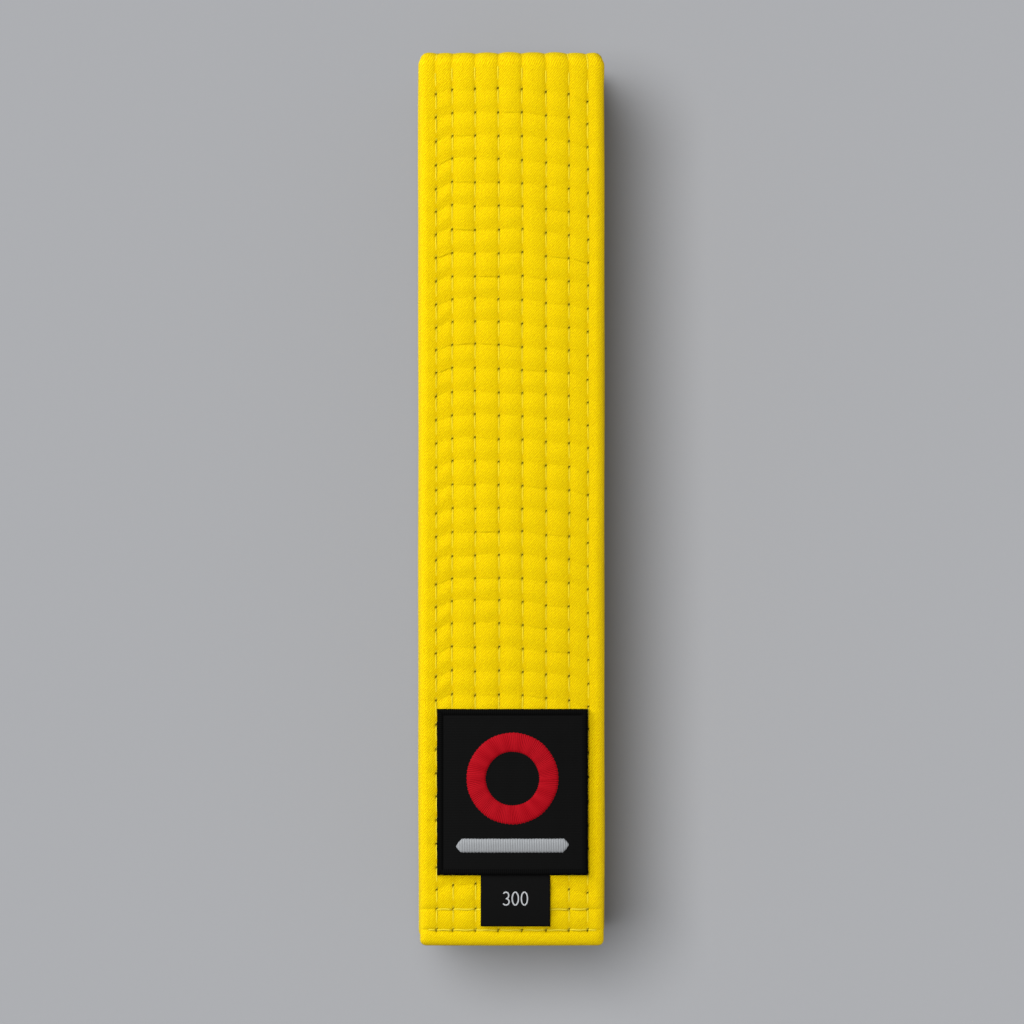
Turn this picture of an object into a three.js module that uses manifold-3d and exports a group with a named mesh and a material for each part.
// Martial arts belt, folded to and fro into a flat bundle for storage.
//
// The belt is one long quilted strip: a woven cover sewn as a flat sleeve round a soft
// interlining, held together by eight lengthwise rows of lockstitch. It is folded in sixteen
// equal layers, like a fan, and lies on its lowest layer. Layer 1 is the top one and carries the
// free tip with its hem, woven label and size tag. Layer 16 is the lowest one.
//
// Frame: millimetres. X across the belt, Y along the bundle with the labelled tip towards -Y,
// Z up. The origin is the middle of the footprint, on the surface that the bundle lies on.

import * as THREE from "three";
import { mergeVertices } from "three/addons/utils/BufferGeometryUtils.js";
import Module from "manifold-3d";

const wasm = await Module();
wasm.setup();

// ---- driving dimensions ----------------------------------------------------------------------
const WIDTH = 39.0; // belt width
const THICK = 2.9; // one layer of quilted belt
const PITCH = 3.2; // height from one layer to the next
const LAYERS = 16;
const BUNDLE = 188.4; // length of the folded bundle
const EDGE_R = 1.1; // rounding of the belt's long edges

const COVER_WALL = 0.45; // woven cover with its backing
const CORE_CLEAR = 0.3; // interlining to cover, all round
const HEM_WALL = 1.2; // cover turned in at a free end
const END_CLEAR = 0.15; // layer end to hinge line, and hinge line to turn

const TURN_OUT = (PITCH + THICK) / 2; // outer radius of a turn, 3.05
const TURN_IN = 0.35; // radius of the crease inside a turn
const HINGE_Y = BUNDLE / 2 - TURN_OUT; // hinge lines, 91.15 either side of the middle

const ROW_X = [-15.98, -12.58, -7.76, -2.76, 2.21, 7.21, 12.04, 16.06]; // lengthwise stitch rows
const THREAD_W = 0.55;
const THREAD_H = 0.2;
const THREAD_LIFT = 0.05;

const HEM_NEAR = -86.5; // inner cross row of the tip's hem
const HEM_FAR = -90.85; // outer cross row
const HEM_HALF_W = 18.4;

const LABEL = { x0: -15.64, x1: 16.15, y0: -79.28, y1: -44.29, thick: 0.8, border: 1.4, rim: 0.3 };
const LABEL_LIFT = 0.3; // label's back to the cover, over the thread rows
const TAG = { x0: -6.45, x1: 8.16, y0: -90.01, thick: 0.4, gap: 0.3 };

// ---- helpers ---------------------------------------------------------------------------------
const root = new THREE.Group();

function add(name, geometry, color, roughness, metalness = 0) {
  const mesh = new THREE.Mesh(
    geometry,
    new THREE.MeshStandardMaterial({ color, roughness, metalness }),
  );
  mesh.name = name;
  root.add(mesh);
  return mesh;
}

// A closed outline from points, as a Shape or a hole.
function outline(points, Kind = THREE.Shape) {
  const s = new Kind();
  points.forEach(([x, y], i) => (i ? s.lineTo(x, y) : s.moveTo(x, y)));
  s.closePath();
  return s;
}

// Rounded rectangle, centred, counter-clockwise, with `steps` chords to each corner.
function roundedRect(w, h, r, steps = 3) {
  const points = [];
  const corners = [
    [w / 2 - r, h / 2 - r, 0],
    [-w / 2 + r, h / 2 - r, 90],
    [-w / 2 + r, -h / 2 + r, 180],
    [w / 2 - r, -h / 2 + r, 270],
  ];
  for (const [cx, cy, start] of corners) {
    for (let i = 0; i <= steps; i++) {
      const a = ((start + (90 * i) / steps) * Math.PI) / 180;
      points.push([cx + r * Math.cos(a), cy + r * Math.sin(a)]);
    }
  }
  return points;
}

// Extrudes a profile drawn in X-Z along Y, from y0 to y1.
function alongY(shape, y0, y1) {
  const g = new THREE.ExtrudeGeometry(shape, { depth: y1 - y0, bevelEnabled: false, steps: 1 });
  g.rotateX(Math.PI / 2); // profile (x, y) -> (x, z), extrusion +Z -> -Y
  g.translate(0, y1, 0);
  return g;
}

// Extrudes an outline drawn in X-Y upwards, from z0 to z1.
function upwards(shape, z0, z1) {
  const g = new THREE.ExtrudeGeometry(shape, { depth: z1 - z0, bevelEnabled: false, steps: 1 });
  g.translate(0, 0, z0);
  return g;
}

// Extrudes a profile drawn in Y-Z across X, over the belt's width.
function acrossX(points, width) {
  const g = new THREE.ExtrudeGeometry(outline(points), {
    depth: width,
    bevelEnabled: false,
    steps: 1,
  });
  // profile (u, v) with extrusion w -> x = w, y = u, z = v
  const m = new THREE.Matrix4().set(0, 0, 1, -width / 2, 1, 0, 0, 0, 0, 1, 0, 0, 0, 0, 0, 1);
  g.applyMatrix4(m);
  return g;
}

// Boolean cut of one closed geometry from another.
function toSolid(geometry) {
  const g = geometry.clone();
  g.deleteAttribute("normal");
  g.deleteAttribute("uv");
  const merged = mergeVertices(g, 1e-5);
  return new wasm.Manifold(
    new wasm.Mesh({
      numProp: 3,
      vertProperties: new Float32Array(merged.attributes.position.array),
      triVerts: new Uint32Array(merged.index.array),
    }),
  );
}

function cut(body, tool) {
  const out = toSolid(body).subtract(toSolid(tool)).getMesh();
  const g = new THREE.BufferGeometry();
  g.setAttribute("position", new THREE.Float32BufferAttribute(out.vertProperties, 3));
  g.setIndex(new THREE.Uint32BufferAttribute(out.triVerts, 1));
  g.computeVertexNormals();
  return g;
}

const BELT = 0xe8cb12;
const CORE = 0xe9e4d2;
const THREAD = 0xf4e27a;
const LABEL_BLACK = 0x141416;

const bottomOf = (layer) => (LAYERS - layer) * PITCH;

// ---- the sixteen layers ----------------------------------------------------------------------
// A layer reaches from hinge line to hinge line. The first and last also have a free end, which
// comes out level with the turns.
for (let layer = 1; layer <= LAYERS; layer++) {
  const label = String(layer).padStart(2, "0");
  const z = bottomOf(layer) + THICK / 2;
  const free = layer === 1 || layer === LAYERS;
  const y0 = free ? -BUNDLE / 2 : -HINGE_Y + END_CLEAR;
  const y1 = HINGE_Y - END_CLEAR;

  // Woven cover: a flat sleeve, open where the belt turns and closed by its hem at a free end.
  const inner = { w: WIDTH - 2 * COVER_WALL, h: THICK - 2 * COVER_WALL };
  const block = alongY(outline(roundedRect(WIDTH, THICK, EDGE_R)), y0, y1);
  const room = alongY(
    outline(roundedRect(inner.w, inner.h, 0.6, 2)),
    free ? y0 + HEM_WALL : y0 - 1,
    y1 + 1,
  );
  const cover = cut(block, room);
  cover.translate(0, 0, z);
  add(`cover_${label}`, cover, BELT, 0.85);

  // Interlining inside it. It stops short of a free end, where the cover's hem turns in.
  const core = alongY(
    outline(roundedRect(inner.w - 2 * CORE_CLEAR, inner.h - 2 * CORE_CLEAR, 0.4, 2)),
    free ? y0 + 3.0 : y0,
    y1,
  );
  core.translate(0, 0, z);
  add(`interlining_${label}`, core, CORE, 0.95);
}

// ---- the fifteen turns -----------------------------------------------------------------------
// Turn n joins layers n and n + 1. The belt's cover and interlining bend round together, so each
// turn is one half-round solid. Odd turns are at +Y, even ones at -Y.
for (let n = 1; n < LAYERS; n++) {
  const label = String(n).padStart(2, "0");
  const end = n % 2 ? 1 : -1;
  const axisZ = bottomOf(n) - (PITCH - THICK) / 2;
  const arc = (radius, from, to, steps) => {
    const points = [];
    for (let i = 0; i <= steps; i++) {
      const a = from + ((to - from) * i) / steps;
      points.push([radius * Math.cos(a), radius * Math.sin(a)]);
    }
    return points;
  };
  const outerStart = Math.asin(END_CLEAR / TURN_OUT);
  const innerStart = Math.asin(END_CLEAR / TURN_IN);
  const half = Math.PI / 2;
  let profile = [
    ...arc(TURN_OUT, -half + outerStart, half - outerStart, 14),
    ...arc(TURN_IN, half - innerStart, -half + innerStart, 4),
  ];
  if (end < 0) profile = profile.map(([u, v]) => [-u, v]).reverse();
  const turn = acrossX(profile, WIDTH);
  turn.translate(0, end * HINGE_Y, axisZ);
  add(`turn_${label}`, turn, BELT, 0.85);
}

// ---- sewing on the top layer -----------------------------------------------------------------
const top = bottomOf(1) + THICK;
const threadZ = top + THREAD_LIFT;

ROW_X.forEach((x, i) => {
  const h = THREAD_W / 2;
  const section = outline([
    [x - h, 0],
    [x + h, 0],
    [x + h * 0.6, THREAD_H],
    [x - h * 0.6, THREAD_H],
  ]);
  const row = alongY(section, HEM_NEAR + 0.8, HINGE_Y - END_CLEAR);
  row.translate(0, 0, threadZ);
  add(`stitch_row_${i + 1}`, row, THREAD, 0.6);
});

// The hem is closed by two cross rows that meet at the edges, sewn in one run.
const hem = outline([
  [-HEM_HALF_W, HEM_FAR - 0.3],
  [HEM_HALF_W, HEM_FAR - 0.3],
  [HEM_HALF_W, HEM_NEAR + 0.3],
  [-HEM_HALF_W, HEM_NEAR + 0.3],
]);
hem.holes.push(
  outline(
    [
      [-HEM_HALF_W + 0.6, HEM_FAR + 0.3],
      [-HEM_HALF_W + 0.6, HEM_NEAR - 0.3],
      [HEM_HALF_W - 0.6, HEM_NEAR - 0.3],
      [HEM_HALF_W - 0.6, HEM_FAR + 0.3],
    ],
    THREE.Path,
  ),
);
add("hem_stitching", upwards(hem, threadZ, threadZ + THREAD_H), THREAD, 0.6);

// ---- woven label, its emblem and bar, and the size tag ---------------------------------------
const labelBase = top + LABEL_LIFT;
const labelTop = labelBase + LABEL.thick;
const rimTop = labelTop + LABEL.rim;
{
  const { x0, x1, y0, y1, border } = LABEL;
  // A shallow tray: the overlocked border stands a little above the field. The section across the
  // rim is swept round the label as stacked square rings, so the body is one closed solid.
  const corners = (d, z) => [
    [x0 + d, y0 + d, z],
    [x1 - d, y0 + d, z],
    [x1 - d, y1 - d, z],
    [x0 + d, y1 - d, z],
  ];
  const rings = [
    corners(0.25, labelBase),
    corners(0, labelBase + 0.3),
    corners(0, rimTop - 0.35),
    corners(0.35, rimTop),
    corners(border - 0.3, rimTop),
    corners(border, labelTop),
  ];
  const vertices = rings.flat();
  const index = [0, 2, 1, 0, 3, 2];
  for (let r = 0; r + 1 < rings.length; r++) {
    for (let i = 0; i < 4; i++) {
      const a = r * 4 + i;
      const b = r * 4 + ((i + 1) % 4);
      index.push(a, b, b + 4, a, b + 4, a + 4);
    }
  }
  const last = (rings.length - 1) * 4;
  index.push(last, last + 1, last + 2, last, last + 2, last + 3);
  const g = new THREE.BufferGeometry();
  g.setAttribute("position", new THREE.Float32BufferAttribute(vertices.flat(), 3));
  g.setIndex(index);
  g.computeVertexNormals();
  add("label_patch", g, LABEL_BLACK, 0.8);
}

// Emblem: a plain ring, embroidered on the upper part of the label.
{
  const cx = (LABEL.x0 + LABEL.x1) / 2;
  const cy = -58.9;
  const ring = (r, n, Kind, flip) => {
    const points = [];
    for (let i = 0; i < n; i++) {
      const a = ((flip ? -i : i) / n) * 2 * Math.PI;
      points.push([cx + r * Math.cos(a), cy + r * Math.sin(a)]);
    }
    return outline(points, Kind);
  };
  const s = ring(9.8, 48, THREE.Shape, false);
  s.holes.push(ring(6.4, 36, THREE.Path, true));
  add("label_emblem", upwards(s, labelTop + 0.05, labelTop + 0.45), 0xb8121f, 0.55);
}

// Bar: a plain embroidered band below the emblem.
{
  const cx = (LABEL.x0 + LABEL.x1) / 2;
  const bar = outline([
    [cx - 11.0, -74.6],
    [cx + 11.0, -74.6],
    [cx + 11.8, -73.0],
    [cx + 11.0, -71.4],
    [cx - 11.0, -71.4],
    [cx - 11.8, -73.0],
  ]);
  add("label_bar", upwards(bar, labelTop + 0.05, labelTop + 0.4), 0xa9aaac, 0.5);
}

// Size tag: a small folded tape sewn under the label's lower edge. It can be lifted.
{
  const tag = outline([
    [TAG.x0, TAG.y0],
    [TAG.x1, TAG.y0],
    [TAG.x1, LABEL.y0 - TAG.gap],
    [TAG.x0, LABEL.y0 - TAG.gap],
  ]);
  add("size_tag", upwards(tag, labelBase, labelBase + TAG.thick), LABEL_BLACK, 0.7);
}

export default root;
